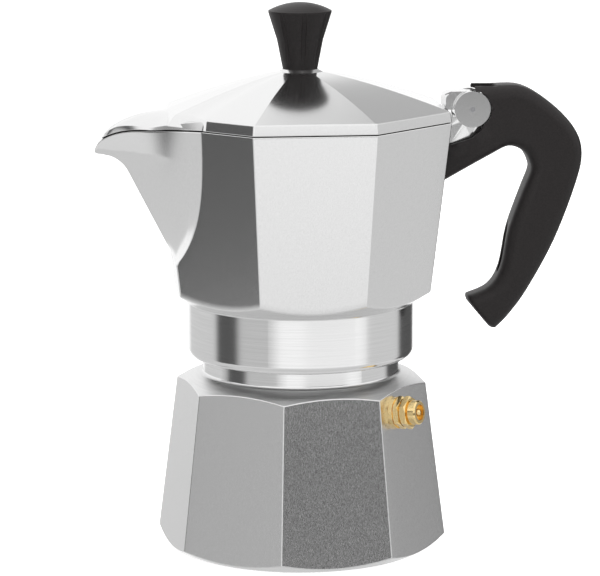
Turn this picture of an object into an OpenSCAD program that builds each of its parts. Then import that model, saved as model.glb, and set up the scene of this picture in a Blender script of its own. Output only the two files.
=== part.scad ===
// Stove-top moka pot, six-cup size, in millimetres.
// The origin is the centre of the foot, on the surface that the pot stands on.
// +Z is up, the handle points to +X and the spout to -X.

/* [Boiler] */
// Corner radius of the boiler's octagon, just above the foot
boiler_foot_r = 56; // [52:0.5:60]
// Corner radius of the boiler's octagon at the shoulder
boiler_top_r = 48.4; // [45:0.1:50]
// Height of the octagon's corners at the shoulder
boiler_h = 63.3; // [56:0.1:72]
// Radius of the ring that the pot stands on
foot_r = 49.8; // [44:0.1:51]
// Height of the octagon's corners over the foot
foot_rise = 4; // [2:0.1:5]
// Slope of the turned shoulder, in degrees
shoulder_slope = 22.5; // [18:0.5:26]
// Wall of the boiler
boiler_wall = 3.2; // [2:0.1:4]
// Floor of the boiler
boiler_floor = 3.5; // [2.5:0.1:5]
// Depth of the dish under the foot
foot_dish = 0.6; // [0.3:0.1:1]
// Turn of the boiler's faces against the collector's, in degrees
boiler_turn = 9.2; // [0:0.1:20]
// Outer radius of the neck
neck_r = 37.8; // [37:0.1:39]
// Height of the mouth's rim over the shoulder's corners
neck_h = 24.7; // [22:0.1:27]
// Wall of the neck
neck_wall = 5.4; // [4:0.1:6]

/* [Thread] */
// Rise of the collector for one turn
thread_pitch = 3; // [2:0.1:3.4]
// Number of ridges on the neck and in the collar
thread_ridges = 3; // [2:1:3]
// Height of a ridge
thread_depth = 1.1; // [0.7:0.1:1.3]
// Play between the two threads
thread_play = 0.3; // [0.2:0.05:0.5]

/* [Safety valve] */
// Height of the valve on its face
valve_z = 56.4; // [48:0.1:57]
// Distance of the valve from the middle of its face
valve_aside = -6; // [-8:0.5:8]
// Width over the flats of the valve's hexagon
valve_hex = 11; // [10:0.1:13]
// Length of the valve's hexagon
valve_hex_len = 5.4; // [4.5:0.1:7]
// Radius of the shank through the boiler's wall
valve_shank_r = 4; // [3.8:0.1:4.5]
// Thickness of the sealing washer
valve_washer_t = 0.8; // [0.5:0.1:1.2]
// Outer radius of the cap
valve_cap_r = 4.6; // [4.2:0.1:5]
// Length of the cap
valve_cap_len = 3.5; // [3:0.1:4.5]
// Radius of the spring's chamber
valve_bore_r = 2.75; // [2.6:0.05:2.9]
// Radius of the piston's stem
valve_stem_r = 1; // [0.8:0.05:1.2]
// Radius of the spring's wire
valve_wire_r = 0.3; // [0.2:0.05:0.35]

/* [Funnel] */
// Gap between the basket and the mouth
basket_gap = 1.1; // [0.6:0.1:1.6]
// Depth of the basket
basket_h = 26; // [20:0.5:28]
// Sheet thickness of the funnel
funnel_sheet = 0.9; // [0.7:0.1:1.2]
// Height of the cone under the basket
funnel_cone_h = 6.5; // [4:0.5:9]
// Outer radius of the stem
stem_r = 4.6; // [4:0.1:6]
// Gap between the stem and the boiler's floor
stem_gap = 4.5; // [3:0.5:7]
// Thickness of the screens
screen_t = 0.6; // [0.5:0.1:0.7]
// Radius of the holes in the screens
screen_hole_r = 0.9; // [0.6:0.1:1.2]

/* [Seal] */
// Outer radius of the gasket
gasket_r = 36; // [35:0.1:36.5]
// Width of the gasket's ring
gasket_w = 7.4; // [6:0.1:8.5]
// Thickness of the gasket
gasket_t = 4; // [3:0.1:5]
// Lap of the filter plate over the gasket
plate_lap = 2.4; // [1.5:0.1:3]
// Thickness of the filter plate
plate_t = 0.8; // [0.6:0.1:1]
// Play round the gasket and the plate
seal_play = 0.3; // [0.2:0.05:0.5]

/* [Collector] */
// Outer radius of the turned collar
collar_r = 43.3; // [42.6:0.1:45]
// Reach of the collar below the boiler's rim
collar_drop = 14.3; // [13:0.1:15]
// Reach of the collar above the boiler's rim
collar_rise = 7; // [6.5:0.1:9]
// Radius of the collar's lower edge
collar_round = 3.2; // [1:0.1:3.4]
// Corner radius of the collector's octagon at its lower corners
collector_low_r = 51.5; // [49:0.1:54]
// Overhang of the rim's corners over the boiler's widest corners
rim_overhang = 3.4; // [2:0.1:5]
// Height of the lower corners over the collar
collector_low_h = 5.3; // [4:0.1:7]
// Height of the octagon's faces, from the lower corners to the rim
collector_h = 64.7; // [56:0.1:72]
// Wall of the collector
collector_wall = 2.8; // [2:0.1:3.2]
// Height of the collector's floor over the collar
collector_floor_h = 6.4; // [5.8:0.1:8]
// Height of the brew column over the floor
column_h = 47; // [35:0.5:52]
// Radius of the brew column at its top
column_r = 5.4; // [5:0.1:6.5]
// Radius of the bore in the brew column
column_bore_r = 3.2; // [2.5:0.1:3.6]
// Radius of the outlets at the top of the column
outlet_r = 2; // [1.5:0.1:2.2]

/* [Spout] */
// Height over the collector's lower corners at which the spout leaves its face
spout_base_h = 12.6; // [8:0.1:18]
// Drop of the spout's tip below the rim
spout_tip_drop = 12.7; // [9:0.1:15]
// Lean of the keel from upright, in degrees
keel_lean = 27; // [20:0.5:32]
// Radius of the keel's curve under the lip
keel_curve_r = 12.5; // [9:0.1:15]
// Length of the level lip at the tip
lip_len = 1.6; // [0.8:0.1:3]
// Thickness of the lip at the tip
lip_t = 1.1; // [0.8:0.1:1.6]
// Wall at the tip's edge
lip_wall = 0.8; // [0.6:0.1:1.2]
// Hollow of the spout's flanks
flank_hollow = 2; // [1:0.1:4]
// Distance of the flank's crease from the middle of its face, at the rim
crease_top = 1.2; // [0:0.1:6]
// Height over which the crease swings to the corner
crease_fade = 17.5; // [12:0.5:24]
// Drop of the spout's rim where the lip starts to curve down
spout_rim_drop = 2.5; // [1:0.1:4]

/* [Lid] */
// Gap between the collector's rim and the lid
lid_gap = 0.3; // [0.2:0.05:0.6]
// Height of the lid's skirt
skirt_h = 3.7; // [3:0.1:5]
// Taper of the skirt, as a change of corner radius
skirt_taper = 0.6; // [0:0.1:1]
// Bevel on the skirt's upper edge
skirt_bevel = 0.5; // [0.3:0.1:1]
// Rise of the crown over the skirt
crown_h = 14.3; // [10:0.1:18]
// Wall of the lid
lid_wall = 1.8; // [1.4:0.1:2.4]
// Height of the lid's edge along the spout
beak_h = 2; // [1.4:0.1:3]
// Distance of the lid's beak behind the spout's tip
beak_back = 2.4; // [1.5:0.1:4]

/* [Knob] */
// Radius of the knob's rim
knob_r = 12; // [10:0.1:14]
// Radius of the knob's foot
knob_foot_r = 6.6; // [6:0.1:8]
// Height of the knob's rim over the lid
knob_h = 22; // [18:0.1:28]
// Height of the knob's domed top
knob_dome_h = 3.1; // [1.5:0.1:4]
// Number of flutes round the knob
knob_flutes = 8; // [6:1:10]
// Depth of the flutes
flute_depth = 0.7; // [0.4:0.1:1]
// Radius of the knob's screw
knob_screw_r = 2; // [1.5:0.1:2.3]
// Wall of the threaded insert in the knob
insert_wall = 1.3; // [1:0.1:1.8]

/* [Hinge] */
// Distance of the hinge pin from the collector's rear face
pin_out = 10.3; // [10:0.1:12]
// Height of the hinge pin over the rim
pin_up = 3; // [2.5:0.1:3.5]
// Radius of the hinge pin
pin_r = 1; // [0.8:0.05:1.3]
// Radial play of the lid's knuckle on the pin
pin_play = 0.05; // [0.02:0.01:0.08]
// Radius of the bracket's ears
ear_r = 6.9; // [6.5:0.1:7.2]
// Width over the bracket's ears
ear_w = 14; // [13:0.1:15]
// Thickness of one ear
ear_t = 2.3; // [2:0.1:2.8]
// Play on each side of the lid's tongue
tongue_play = 0.3; // [0.2:0.05:0.5]

/* [Handle] */
// Depth of the handle's section
handle_w = 17; // [16:0.1:20]
// Radius of the handle's edges
handle_round = 5; // [3:0.1:6]
// Play between the handle and the bracket
handle_play = 0.3; // [0.2:0.05:0.5]
// Width of the bracket's tang in the handle
tang_w = 7; // [6:0.1:8]
// Reach of the tang beyond the pin
tang_reach = 19; // [17:0.1:21]
// Radius of the handle's screw
handle_screw_r = 2; // [1.5:0.1:2.4]

/* [Hidden] */
$fn = 96;
eps = 0.01;
press_gap = 0.02;
far = 200;
half_face = 22.5;
c8 = cos(half_face);
t8 = tan(half_face);

cast = [0.80, 0.80, 0.81];
brass = [0.85, 0.68, 0.38];
black = [0.13, 0.12, 0.12];
steel = [0.62, 0.62, 0.64];
rubber = [0.90, 0.89, 0.85];

// Heights, from the foot upwards
rim_z = boiler_h + neck_h;
flange_z = rim_z + funnel_sheet;
gasket_top = flange_z + gasket_t;
collar_z = rim_z - collar_drop;
collar_top = rim_z + collar_rise;
low_z = collar_top + collector_low_h;
top_z = low_z + collector_h;
floor_z = collar_top + collector_floor_h;
collector_top_r = boiler_foot_r + rim_overhang;

// ---------------------------------------------------------------- boiler

boiler_lean = (boiler_foot_r - boiler_top_r) / (boiler_h - foot_rise);
function boiler_r(z) = boiler_foot_r - boiler_lean * (z - foot_rise);
function shoulder_z(r) = boiler_h + (boiler_top_r - r) * tan(shoulder_slope);
neck_z = shoulder_z(neck_r);
mouth_r = neck_r - neck_wall;
neck_fillet = 1.5;

module octagon(h, r1, r2) {
    rotate([0, 0, half_face]) cylinder(h = h, r1 = r1, r2 = r2, $fn = 8);
}

// Profile of one thread ridge, standing out of radius r by d (inwards when d is negative)
module ridge(r, d, z) {
    base = thread_pitch * 0.36;
    crest = thread_pitch * 0.13;
    lap = sign(d) * 0.3;
    polygon([[r - lap, z - base], [r, z - base], [r + d, z - crest], [r + d, z + crest],
        [r, z + base], [r - lap, z + base]]);
}

module boiler_outside() {
    chamfer = foot_rise / (boiler_foot_r - foot_r);
    wide = boiler_foot_r + 8;
    intersection() {
        rotate([0, 0, boiler_turn]) octagon(neck_z, boiler_r(0), boiler_r(neck_z));
        rotate_extrude() polygon([[0, 0], [foot_r, 0], [wide, (wide - foot_r) * chamfer],
            [wide, shoulder_z(wide)], [neck_r, neck_z], [0, neck_z]]);
    }
    rotate_extrude() {
        square([neck_r, rim_z]);
        difference() {
            translate([neck_r - eps, neck_z - neck_fillet]) square([neck_fillet, neck_fillet * 2]);
            translate([neck_r + neck_fillet, neck_z + neck_fillet * 1.2]) circle(neck_fillet);
            translate([neck_r, neck_z + neck_fillet]) square(far);
        }
        for (i = [0 : thread_ridges - 1])
            ridge(neck_r, thread_depth, rim_z - thread_pitch * (i + 0.7));
    }
}

module boiler_inside() {
    floor_r = boiler_r(boiler_floor) * c8 - boiler_wall;
    slope = tan(shoulder_slope);
    drop = boiler_wall / cos(shoulder_slope);
    wall_r = boiler_r(boiler_h) * c8 - boiler_wall;
    wall_z = shoulder_z(wall_r) - drop;
    corner = 4;
    rotate_extrude() {
        polygon(concat([[0, boiler_floor], [floor_r - corner, boiler_floor]],
            [for (a = [15 : 15 : 75]) [floor_r - corner + corner * sin(a),
                boiler_floor + corner - corner * cos(a)]],
            [[floor_r, boiler_floor + corner], [wall_r, wall_z],
                [mouth_r, wall_z + (wall_r - mouth_r) * slope], [mouth_r, rim_z + 1], [0, rim_z + 1]]));
    }
}

module boiler() {
    color(cast) difference() {
        boiler_outside();
        boiler_inside();
        translate([0, 0, -eps]) cylinder(h = foot_dish, r = foot_r - 6);
        at_valve() translate([0, 0, -boiler_wall * 3]) cylinder(h = boiler_wall * 4, r = valve_shank_r + press_gap);
    }
}

// ---------------------------------------------------------------- safety valve

valve_turn = boiler_turn - 45;
valve_tilt = atan(boiler_lean * c8);
valve_inside = boiler_wall / cos(valve_tilt) + 3.2;
valve_seat = -3;
hex_z = valve_washer_t;
cap_z = hex_z + valve_hex_len;
spigot_len = 2;
spigot_r = valve_bore_r + 0.6;
web_t = 1;
plug_h = 1.8;
plug_r = valve_bore_r - 0.25;
inlet_r = 1.5;

// Places children on the boiler's face, with +Z pointing out along the valve
module at_valve() {
    rotate([0, 0, valve_turn]) translate([boiler_r(valve_z) * c8, valve_aside, valve_z])
        rotate([0, 90 - valve_tilt, 0]) children();
}

module hex_ring(z, h) {
    corner = valve_hex / 2 / cos(30);
    bevel = 0.45;
    intersection() {
        translate([0, 0, z]) cylinder(h = h, r = corner, $fn = 6);
        rotate_extrude() polygon([[0, z], [corner - bevel * 2, z], [corner + eps, z + bevel * 1.2],
            [corner + eps, z + h - bevel * 1.2], [corner - bevel * 2, z + h], [0, z + h]]);
    }
}

module valve_body() {
    groove = 0.5;
    half = (valve_hex_len - groove) / 2;
    color(brass) at_valve() difference() {
        union() {
            translate([0, 0, -valve_inside]) cylinder(h = valve_inside + hex_z, r = valve_shank_r);
            hex_ring(hex_z, half);
            translate([0, 0, hex_z]) cylinder(h = valve_hex_len, r = valve_hex / 2 - 0.9);
            hex_ring(hex_z + half + groove, half);
        }
        translate([0, 0, -valve_inside - 1]) cylinder(h = valve_inside + 2, r = inlet_r);
        translate([0, 0, valve_seat]) cylinder(h = cap_z - valve_seat + 1, r = valve_bore_r);
        translate([0, 0, cap_z - spigot_len]) cylinder(h = spigot_len + 1, r = spigot_r);
    }
}

module valve_washer() {
    color(steel) at_valve() difference() {
        cylinder(h = valve_washer_t, r = valve_hex / 2 + 0.5);
        translate([0, 0, -1]) cylinder(h = valve_washer_t + 2, r = valve_shank_r + 0.05);
    }
}

module valve_cap() {
    edge = 0.5;
    cup_r = valve_cap_r - 1.6;
    color(brass) at_valve() difference() {
        union() {
            translate([0, 0, cap_z - spigot_len]) cylinder(h = spigot_len + eps, r = spigot_r);
            rotate_extrude() polygon([[0, cap_z], [valve_cap_r - edge, cap_z],
                [valve_cap_r, cap_z + edge], [valve_cap_r, cap_z + valve_cap_len - edge],
                [valve_cap_r - edge, cap_z + valve_cap_len], [0, cap_z + valve_cap_len]]);
        }
        translate([0, 0, cap_z - spigot_len - 1]) cylinder(h = spigot_len + 1, r = valve_bore_r);
        translate([0, 0, cap_z - 1]) cylinder(h = web_t + 2, r = valve_stem_r + 0.1);
        translate([0, 0, cap_z + web_t]) cylinder(h = valve_cap_len, r = cup_r);
    }
}

module valve_piston() {
    tip_z = cap_z + valve_cap_len - 1.1;
    color(brass) at_valve() {
        translate([0, 0, valve_seat]) cylinder(h = plug_h, r = plug_r);
        translate([0, 0, valve_seat]) cylinder(h = tip_z - valve_seat, r = valve_stem_r);
        translate([0, 0, tip_z]) sphere(r = valve_stem_r + 0.35);
    }
}

// Coil spring between the piston's plug and the cap's web, swept as rings along a helix
module valve_spring() {
    turns = 5;
    coil_r = valve_bore_r - 0.2 - valve_wire_r - 0.25;
    z0 = valve_seat + plug_h + valve_wire_r + 0.05;
    z1 = cap_z - valve_wire_r - 0.05;
    steps = 18;
    sides = 8;
    n = turns * steps;
    pts = [for (i = [0 : n]) let (a = i * 360 / steps, z = z0 + (z1 - z0) * i / n)
        for (s = [0 : sides - 1]) let (b = s * 360 / sides, r = coil_r + valve_wire_r * cos(b))
            [r * cos(a), r * sin(a), z + valve_wire_r * sin(b)]];
    color(steel) at_valve() polyhedron(pts, tube_faces(n + 1, sides));
}

// Faces of a tube made of rings of equal size, closed by its two end rings
function tube_faces(rings, n) = concat(
    [[for (j = [0 : n - 1]) j]],
    [for (i = [0 : rings - 2]) for (j = [0 : n - 1]) let (a = i * n + j, b = i * n + (j + 1) % n)
        each [[a, b + n, b], [a, a + n, b + n]]],
    [[for (j = [n - 1 : -1 : 0]) (rings - 1) * n + j]]);

// ---------------------------------------------------------------- funnel

basket_r = mouth_r - basket_gap;
flange_r = gasket_r - seal_play;
screen_z = rim_z + funnel_sheet - basket_h;
screen_r = basket_r - funnel_sheet - 0.15;
cone_z = screen_z - funnel_cone_h;
stem_low = boiler_floor + stem_gap;

module funnel_basket() {
    s = funnel_sheet;
    ledge = 1.4;
    socket_r = stem_r + press_gap;
    socket_h = 3;
    color(cast) rotate_extrude() polygon([[basket_r - s, flange_z], [flange_r, flange_z],
        [flange_r, rim_z], [basket_r, rim_z], [basket_r, screen_z - s], [socket_r + s, cone_z - s],
        [socket_r + s, cone_z - socket_h], [socket_r, cone_z - socket_h], [socket_r, cone_z],
        [basket_r - s - ledge, screen_z - s * 0.6], [basket_r - s - ledge, screen_z],
        [basket_r - s, screen_z]]);
}

module funnel_stem() {
    bevel = 1.2;
    color(cast) difference() {
        translate([0, 0, stem_low]) cylinder(h = cone_z - stem_low, r = stem_r);
        translate([0, 0, stem_low - 1]) cylinder(h = cone_z - stem_low + 2, r = stem_r - funnel_sheet);
        for (a = [0, 180]) rotate([0, 0, a]) translate([0, 0, stem_low]) rotate([0, 90, 0])
            cylinder(h = stem_r + 1, r = bevel);
    }
}

// Radius of the innermost ring of holes, and the plain edge outside the last ring
hole_pitch = 6;
hole_edge = 5;

// Rings of holes, each ring one step further out
module hole_rings(z, h, inner, outer, rings) {
    for (k = [1 : rings]) let (r = inner + (outer - inner) * (k - 1) / (rings - 1))
        for (a = [0 : 360 / (6 * k) : 359]) rotate([0, 0, a]) translate([r, 0, z])
            cylinder(h = h, r = screen_hole_r, $fn = 24);
}

module funnel_screen() {
    color(cast) difference() {
        translate([0, 0, screen_z]) cylinder(h = screen_t, r = screen_r);
        hole_rings(screen_z - 1, screen_t + 2, hole_pitch, screen_r - hole_edge, 4);
    }
}

// ---------------------------------------------------------------- seal

gasket_in = gasket_r - gasket_w;
plate_r = gasket_in + plate_lap;
plate_z = gasket_top;

module gasket() {
    color(rubber) translate([0, 0, flange_z]) difference() {
        cylinder(h = gasket_t, r = gasket_r);
        translate([0, 0, -1]) cylinder(h = gasket_t + 2, r = gasket_in);
    }
}

module filter_plate() {
    dip = 1;
    in_r = gasket_in - 1;
    color(cast) difference() {
        rotate_extrude() polygon([[0, plate_z - dip], [in_r, plate_z - dip], [in_r + dip * 0.8, plate_z],
            [plate_r, plate_z], [plate_r, plate_z + plate_t], [in_r, plate_z + plate_t],
            [in_r - dip * 0.8, plate_z + plate_t - dip], [0, plate_z + plate_t - dip]]);
        hole_rings(plate_z - dip - 1, plate_t + 2, hole_pitch, in_r - hole_edge, 4);
    }
}

// ---------------------------------------------------------------- collector

function corner_r(z) = collector_low_r + (collector_top_r - collector_low_r) * (z - low_z) / collector_h;
function apothem(z) = corner_r(z) * c8;

spout_z = low_z + spout_base_h;
tip_z = top_z - spout_tip_drop;
keel_turn = 90 - keel_lean;
keel_z = tip_z - keel_curve_r * (1 - cos(keel_turn));
keel_x = apothem(spout_z) + tan(keel_lean) * (keel_z - spout_z);
curve_x = keel_x + keel_curve_r * sin(keel_turn);
spout_reach = curve_x + lip_len;
lip_step = 0.4;

// Distance of the keel from the axis at height z: straight, then an arc, then the lip's edge, which
// carries on out at the straight part's lean
function keel_line(z) = apothem(spout_z) + tan(keel_lean) * (z - spout_z);
function keel(z) = z <= spout_z ? apothem(z)
    : z <= keel_z ? keel_line(z)
    : z < tip_z ? keel_x + keel_curve_r * (sin(keel_turn)
        - sin(acos(cos(keel_turn) + (z - keel_z) / keel_curve_r)))
    : z < tip_z + eps ? curve_x
    : spout_reach + keel_line(z) - keel_line(tip_z + lip_t);
// How far the keel stands out from its straight line
function flare(z) = z <= keel_z ? 0 : keel(z) - keel_line(z);
// The channel's floor lies inside the keel and runs out over the lip
function channel(z, wall) = z <= spout_z ? apothem(z) - wall
    : keel(z - lip_t) - max(lip_wall, wall * 1.2 - (wall * 1.2 - lip_wall)
        * max(0, min(1, (z - keel_z) / (tip_z + lip_t - keel_z))));
function keel_at(z, wall) = wall == 0 ? keel(z) : channel(z, wall);

// Distance of the crease from the middle of its face, towards the spout
function half_width(z, wall) = (apothem(z) - wall) * t8;
function crease(z, wall) = z <= spout_z ? half_width(z, wall)
    : min(half_width(z, wall),
        crease_top + (half_width(spout_z, 0) - crease_top) * exp((spout_z - z) / crease_fade));
function hollow(z) = flank_hollow * max(0, keel_line(z) - apothem(z))
    / (keel_line(tip_z) - apothem(tip_z));

// Shares of the flank's length at which it has a point, closer together near the tip
flank_steps = [0, 0.12, 0.25, 0.38, 0.5, 0.6, 0.7, 0.78, 0.85, 0.91, 0.96, 1];
last_step = len(flank_steps) - 1;

// Point of the flank in plan: a hollow chord from the crease that swings out along the nose
function flank_point(z, wall, k) =
    let (a = apothem(z) - wall, u = crease(z, wall), s = sqrt(0.5),
        more = flare(z - (wall == 0 ? 0 : lip_t)),
        start = [-s * (a + u), -s * (a - u)], end = [more - keel_at(z, wall), 0],
        chord = end - start, along = chord / norm(chord))
    start + chord * k + [along[1], -along[0]] * 4 * hollow(z) * k * (1 - k) - [more * pow(k, 5), 0];

// Closed ring of the octagon with its spout, anticlockwise from above: the corners at height z,
// and the flank's points each at a height of its own
function ring(z, heights, wall) =
    let (r = corner_r(z) - wall / c8,
        near = [for (i = [0 : last_step]) let (p = flank_point(heights[i], wall, flank_steps[i]))
            [p[0], p[1], heights[i]]])
    concat([for (a = [-112.5 : 45 : 112.5]) [r * cos(a), r * sin(a), z]],
        [for (i = [0 : last_step]) [near[i][0], -near[i][1], heights[i]]],
        [for (i = [last_step - 1 : -1 : 0]) near[i]]);
function level(z, wall) = ring(z, [for (k = flank_steps) z], wall);

// Height of the rim over a point of the outline: level, then sloping, then curving down to the tip
lip_curve_len = 20.3;
rim_knee_x = -(spout_reach - lip_curve_len);
crease_x = flank_point(top_z, 0, 0)[0];
crease_y = -flank_point(top_z, 0, 0)[1];
function rim_height(x) = x >= crease_x ? top_z
    : x >= rim_knee_x ? top_z - spout_rim_drop * (crease_x - x) / (crease_x - rim_knee_x)
    : let (low = tip_z + lip_t, q = (rim_knee_x - x) / lip_curve_len)
        low + (top_z - spout_rim_drop - low) * sqrt(max(0, 1 - q * q * 0.985));

// Height at which the flank's point at share k reaches the rim, found by halving
function rim_cut(k, low, high, halvings) = let (mid = (low + high) / 2)
    halvings == 0 ? mid
    : rim_height(flank_point(mid, 0, k)[0]) > mid ? rim_cut(k, mid, high, halvings - 1)
    : rim_cut(k, low, mid, halvings - 1);
rim_heights = [for (k = flank_steps) k == 0 ? top_z : k == 1 ? tip_z + lip_t
    : rim_cut(k, tip_z + eps, top_z, 16)];
// Ring at a share f of the way from the tip's height up to the rim
function rim_ring(f) = ring(tip_z + (top_z - tip_z) * f,
    [for (h = rim_heights) tip_z + (h - tip_z) * f], 0);

// A closed solid through rings of equal size, with a point in the middle of each end
module loft(rings, bottom, top) {
    n = len(rings[0]);
    m = len(rings);
    pts = concat([for (r = rings) each r], [bottom, top]);
    polyhedron(pts, concat(
        [for (j = [0 : n - 1]) [m * n, j, (j + 1) % n]],
        [for (i = [0 : m - 2]) for (j = [0 : n - 1]) let (a = i * n + j, b = i * n + (j + 1) % n)
            each [[a, b + n, b], [a, a + n, b + n]]],
        [for (j = [0 : n - 1]) let (a = (m - 1) * n) [m * n + 1, a + (j + 1) % n, a + j]]));
}

keel_levels = concat(
    [for (i = [0 : 7]) spout_z + (keel_z - spout_z) * i / 8],
    [for (a = [keel_turn, 48, 34, 20, 6]) keel_z + keel_curve_r * (cos(a) - cos(keel_turn))]);

module collector_outside() {
    cone = collector_low_h / (collector_low_r - collar_r);
    wide = collector_top_r * 1.6;
    start = collar_top - 1;
    intersection() {
        loft(concat([level(start, 0)], [for (z = keel_levels) level(z, 0)],
            [level(tip_z, 0)], [for (i = [1 : 3]) rim_ring(i / 3)]), [0, 0, start], [0, 0, top_z]);
        rotate_extrude() polygon([[0, start], [collar_r, start], [collar_r, collar_top],
            [wide, collar_top + (wide - collar_r) * cone], [wide, top_z + 1], [0, top_z + 1]]);
    }
    rotate_extrude() polygon(concat([[0, collar_z], [collar_r - collar_round, collar_z]],
        [for (a = [15 : 15 : 75]) [collar_r - collar_round + collar_round * sin(a),
            collar_z + collar_round - collar_round * cos(a)]],
        [[collar_r, collar_z + collar_round], [collar_r, collar_top], [0, collar_top]]));
}

module collector_inside() {
    w = collector_wall;
    top = top_z + 1;
    low = tip_z + lip_t;
    loft(concat([level(floor_z, w)], [for (z = keel_levels) level(z + lip_t, w)],
        [for (z = [low, low + lip_step, (low + top) / 2, top]) level(z, w)]),
        [0, 0, floor_z], [0, 0, top]);
}

shelf_gap = 0.6;
floor_wall = 2.2;

// Bores for the neck, the gasket and the plate, and the chamber under the column
module collector_underside() {
    crest_r = neck_r + thread_depth + thread_play;
    root_r = crest_r + thread_depth;
    shelf_z = rim_z + shelf_gap;
    thread_low = rim_z - thread_pitch * (thread_ridges + 0.6);
    plate_top = plate_z + plate_t;
    roof_z = floor_z - floor_wall;
    rotate_extrude() difference() {
        union() {
            translate([0, collar_z - 1]) square([crest_r, shelf_z - collar_z + 1]);
            translate([0, thread_low]) square([root_r, shelf_z - thread_low]);
        }
        for (i = [0 : thread_ridges - 1])
            ridge(root_r, -thread_depth, rim_z - thread_pitch * (i + 1.2));
    }
    rotate_extrude() polygon([[0, shelf_z - 1], [gasket_r + seal_play, shelf_z - 1],
        [gasket_r + seal_play, gasket_top], [plate_r + seal_play, gasket_top],
        [plate_r + seal_play, plate_top], [plate_r - 2.5, plate_top], [column_bore_r - 1, roof_z],
        [0, roof_z]]);
}

module brew_column() {
    foot_r = column_r * 1.9;
    slope_h = 9;
    rotate_extrude() polygon([[0, floor_z - 1], [foot_r, floor_z - 1], [foot_r, floor_z],
        [column_r * 1.35, floor_z + slope_h * 0.4], [column_r * 1.12, floor_z + slope_h],
        [column_r, floor_z + column_h - 1], [column_r - 1, floor_z + column_h], [0, floor_z + column_h]]);
}

module column_bores() {
    roof = 1.6;
    translate([0, 0, floor_z - 4]) cylinder(h = column_h + 4 - roof, r = column_bore_r);
    translate([0, column_r + 1, floor_z + column_h - roof - 1 - outlet_r]) rotate([90, 0, 0])
        cylinder(h = 2 * (column_r + 1), r = outlet_r);
}

// ---------------------------------------------------------------- hinge bracket

pin_x = apothem(top_z) + pin_out;
pin_z = top_z + pin_up;
slot_w = ear_w - 2 * ear_t;
web_w = ear_w - 1.2;
knuckle_r = ear_r - 0.3;
knuckle_play = 0.3;
tongue_w = slot_w - 2 * tongue_play;
tang_low = -10.5;
tang_high = -2.2;

// Places a profile drawn in X and Z round the pin, w wide across Y
module at_pin(w) {
    translate([pin_x, w / 2, pin_z]) rotate([90, 0, 0]) linear_extrude(w) children();
}

module pin_hole(r) {
    translate([pin_x, far / 2, pin_z]) rotate([90, 0, 0]) cylinder(h = far, r = r);
}

wall_in = -pin_out - 1.6;
wall_low = wall_in - 1.6;
web_low = [[wall_low, -13.6], [-8.3, -12.8], [-0.5, -10.6], [3.4, -7.6]];

module bracket() {
    difference() {
        union() {
            at_pin(web_w) polygon(concat([[0, -2]], [[wall_in, -pin_up - 0.4]], web_low, [[5, -3]]));
            at_pin(ear_w) circle(ear_r);
            at_pin(tang_w) polygon([[0, tang_low], [tang_reach - 1, tang_low], [tang_reach, tang_low + 1],
                [tang_reach, tang_high - 1], [tang_reach - 1, tang_high], [0, tang_high]]);
        }
        at_pin(slot_w) union() {
            circle(knuckle_r + knuckle_play);
            translate([-far, -0.8]) square([far, far]);
            square([knuckle_r + knuckle_play, far]);
        }
        for (s = [-1, 1]) translate([0, s * (slot_w + ear_w) / 2, 0]) at_pin(ear_w - slot_w + 1)
            translate([-far - pin_r - 0.7, -0.8]) square(far);
        handle_screw_hole(handle_screw_r);
    }
}

module collector() {
    color(cast) difference() {
        union() {
            difference() {
                union() {
                    collector_outside();
                    bracket();
                }
                collector_inside();
            }
            brew_column();
        }
        collector_underside();
        column_bores();
        pin_hole(pin_r);
    }
}

module hinge_pin() {
    color(steel) translate([pin_x, ear_w / 2, pin_z]) rotate([90, 0, 0]) cylinder(h = ear_w, r = pin_r);
}

// ---------------------------------------------------------------- handle

// Matched points on the handle's outer and inner outlines, in X and Z from the pin
handle_outer = [[-8.6, 9], [7.4, 8.9], [19.8, 8.3], [30.9, 1.5], [39.8, -8], [42.9, -17.5],
    [40.4, -30], [32.3, -51.5], [22, -70.6], [14.8, -80.5], [10, -85.4]];
handle_inner = [[-12.7, -28.7], [6.2, -18.4], [14.3, -14.6], [20, -16.6], [22.6, -21], [22.8, -24.5],
    [20, -31.7], [14.8, -46.3], [11.8, -61.5], [7.3, -68.9], [-0.8, -72.4]];
handle_steps = 5;
handle_spans = len(handle_outer) - 1;
screw_at = 13;

// Catmull-Rom curve through a list of points, at position t counted in points
function spline(p, t) =
    let (m = len(p) - 1, i = min(floor(t), m - 1), f = t - i,
        a = p[max(i - 1, 0)], b = p[i], c = p[i + 1], d = p[min(i + 2, m)])
    0.5 * (2 * b + (c - a) * f + (2 * a - 5 * b + 4 * c - d) * f * f
        + (3 * b - 3 * c + d - a) * f * f * f);

// Section of the handle: a rectangle with round edges, between an outer and an inner point
function handle_section(outer, inner, depth, shrink) =
    let (mid = (outer + inner) / 2, half = norm(outer - inner) / 2 - shrink, b = depth / 2 - shrink,
        r = min(handle_round, half - 0.5, b - 0.5), dir = (outer - inner) / norm(outer - inner))
    [for (q = [[1, 1, 0], [-1, 1, 90], [-1, -1, 180], [1, -1, 270]]) for (a = [0 : 22.5 : 90])
        let (u = q[0] * (half - r) + r * cos(q[2] + a), v = q[1] * (b - r) + r * sin(q[2] + a))
            [mid[0] + dir[0] * u, v, mid[1] + dir[1] * u]];

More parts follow.
